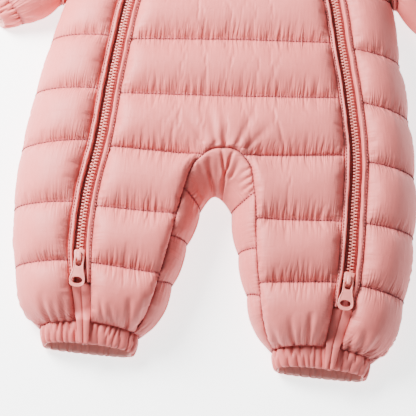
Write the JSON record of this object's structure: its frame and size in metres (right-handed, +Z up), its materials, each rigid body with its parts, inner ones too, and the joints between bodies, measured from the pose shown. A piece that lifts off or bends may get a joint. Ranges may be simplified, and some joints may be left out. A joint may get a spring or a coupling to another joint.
{
  "type": "baby snowsuit",
  "caption": "Quilted baby snowsuit laid flat on its back, with full-length zips down the front to each leg, an inner leg gusset and gathered cuffs.",
  "frame": {"origin": "on the surface the suit lies on, under the middle of its bounding box", "axes": "+Y towards the neck, +Z up out of the front, +X towards the wearer's left sleeve"},
  "size_m": [0.468, 0.502, 0.0559],
  "materials": {
    "quilted_shell": "satin",
    "casing": "satin",
    "zip_tape": "matt woven",
    "zip_teeth": "satin",
    "zip_hardware": "satin"
  },
  "bodies": {
    "garment": {"front_centre": "quilted_shell", "inner_leg_gusset": "quilted_shell", "back": "quilted_shell", "collar_front": "quilted_shell", "collar_back": "quilted_shell", "side_front_left": "quilted_shell", "sleeve_left": "quilted_shell", "ankle_cuff_left": "casing", "wrist_cuff_left": "casing", "welt_inner_left": "quilted_shell", "welt_outer_left": "quilted_shell", "placket_left": "quilted_shell", "zip_tape_left": "zip_tape", "zip_chain_left": "zip_teeth", "zip_slider_left": "zip_hardware", "side_front_right": "quilted_shell", "sleeve_right": "quilted_shell", "ankle_cuff_right": "casing", "wrist_cuff_right": "casing", "welt_inner_right": "quilted_shell", "welt_outer_right": "quilted_shell", "placket_right": "quilted_shell", "zip_tape_right": "zip_tape", "zip_chain_right": "zip_teeth", "zip_slider_right": "zip_hardware"},
    "pull_left": {"zip_pull_left": "zip_hardware"},
    "pull_right": {"zip_pull_right": "zip_hardware"}
  },
  "joints": [
    {"name": "pull_left_hinge", "type": "hinge", "parent": "garment", "child": "pull_left", "pos_m": [-0.11181, -0.17102, 0.0469], "axis": [-0.9999, 0.014, 0], "range_deg": [0, 150]},
    {"name": "pull_right_hinge", "type": "hinge", "parent": "garment", "child": "pull_right", "pos_m": [0.11742, -0.17473, 0.04643], "axis": [-0.9957, 0.0924, 0], "range_deg": [0, 150]}
  ]
}
